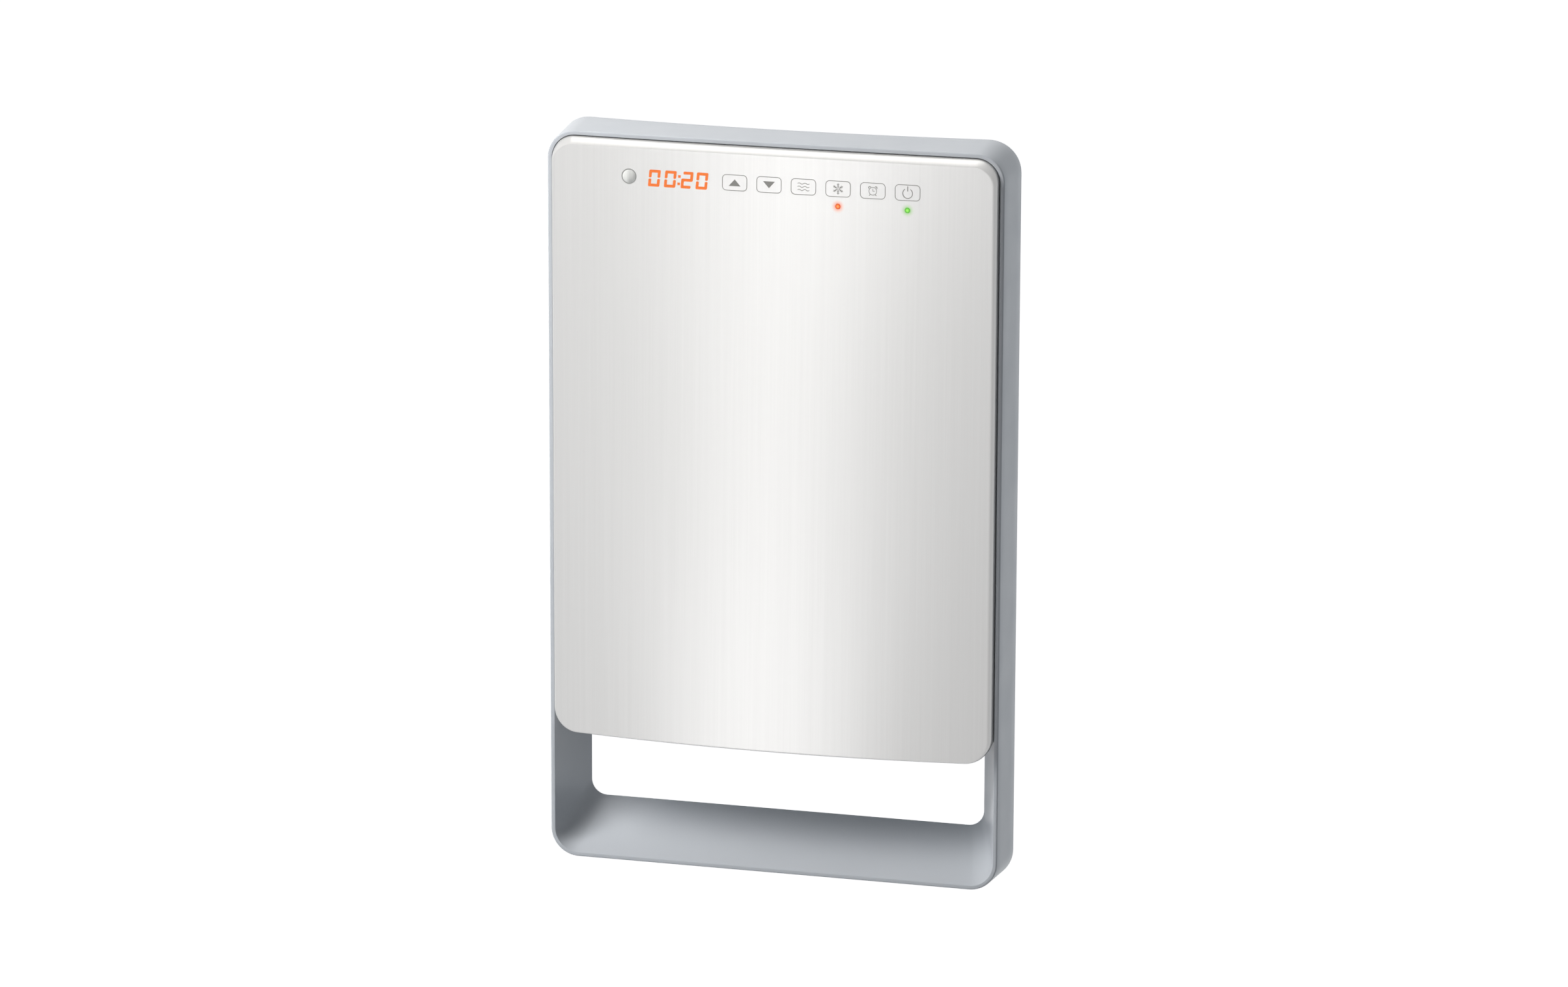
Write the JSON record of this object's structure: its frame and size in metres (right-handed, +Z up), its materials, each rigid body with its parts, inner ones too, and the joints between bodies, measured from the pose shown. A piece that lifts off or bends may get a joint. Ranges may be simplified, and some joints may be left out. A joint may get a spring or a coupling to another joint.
{
  "type": "bathroom fan heater with towel rail",
  "caption": "Wall-hung bathroom fan heater: a bowed brushed front panel in a moulded surround whose lower bar is a towel rail, with touch controls, a crossflow fan and a finned heating element.",
  "frame": {"origin": "centre of the wall bracket's back face, which lies on the wall", "axes": "+Z up, +Y into the wall, +X to the right seen from the front; the fan's axis is parallel to X"},
  "size_m": [0.2808, 0.1129, 0.4508],
  "materials": {
    "frame_moulding": "smooth satin moulding, pale blue-grey",
    "brushed_panel": "fine brushed, satin lacquer",
    "inner_moulding": "plain moulding",
    "housing_moulding": "fine textured moulding",
    "zinc_steel": "zinc plated",
    "rubber": "matt",
    "circuit_board": "solder resist",
    "lamp_block": "plain moulding",
    "sensing_foam": "soft matt",
    "orange_light": "lit light guide",
    "green_light": "lit light guide",
    "smoky_lens": "translucent polished",
    "sensor_can": "nickel plated",
    "bronze": "sintered",
    "fan_moulding": "plain moulding",
    "core_steel": "varnished laminations",
    "winding": "enamelled wire",
    "cast_zinc": "as cast",
    "hot_moulding": "heat resistant moulding",
    "fins": "rolled",
    "relay_case": "plain moulding",
    "capacitor_case": "plain moulding",
    "block_moulding": "plain moulding"
  },
  "bodies": {
    "case": {"towel_frame": "frame_moulding", "front_panel": "brushed_panel", "front_carrier": "inner_moulding", "rear_housing": "housing_moulding", "intake_grille": "inner_moulding", "outlet_grille": "inner_moulding", "outlet_duct": "zinc_steel", "wall_bracket": "zinc_steel", "wall_bumper_left": "rubber", "wall_bumper_right": "rubber", "control_board": "circuit_board", "display_module": "lamp_block", "touch_pad_up": "sensing_foam", "touch_pad_down": "sensing_foam", "touch_pad_mode": "sensing_foam", "touch_pad_frost": "sensing_foam", "touch_pad_timer": "sensing_foam", "touch_pad_power": "sensing_foam", "indicator_frost": "orange_light", "indicator_power": "green_light", "sensor_lens": "smoky_lens", "sensor_element": "sensor_can", "frame_screw_lower_left": "zinc_steel", "frame_screw_lower_right": "zinc_steel", "frame_screw_upper_left": "zinc_steel", "frame_screw_upper_right": "zinc_steel", "board_screw_left": "zinc_steel", "board_screw_right": "zinc_steel", "fan_scroll": "zinc_steel", "fan_tongue": "zinc_steel", "fan_end_plate_left": "zinc_steel", "fan_end_plate_right": "zinc_steel", "bearing_bush": "bronze", "bearing_grommet": "rubber", "motor_stator": "core_steel", "motor_coil": "winding", "motor_bracket_inner": "cast_zinc", "motor_bracket_outer": "cast_zinc", "motor_screw_front": "zinc_steel", "motor_screw_rear": "zinc_steel", "heater_frame": "hot_moulding", "heater_core": "fins", "heater_terminal_front": "zinc_steel", "heater_terminal_rear": "zinc_steel", "thermal_cutout": "block_moulding", "power_board": "circuit_board", "relay_low_heat": "relay_case", "relay_high_heat": "relay_case", "filter_capacitor": "capacitor_case", "terminal_block": "block_moulding", "cable_inlet": "rubber"},
    "fan": {"fan_impeller": "fan_moulding", "impeller_hub": "rubber", "impeller_pin": "zinc_steel", "motor_shaft": "zinc_steel", "motor_rotor": "core_steel"}
  },
  "joints": [
    {"name": "fan_spin", "type": "hinge", "parent": "case", "child": "fan", "pos_m": [-0.019, -0.047, -0.124], "axis": [1, 0, 0], "continuous": true}
  ]
}
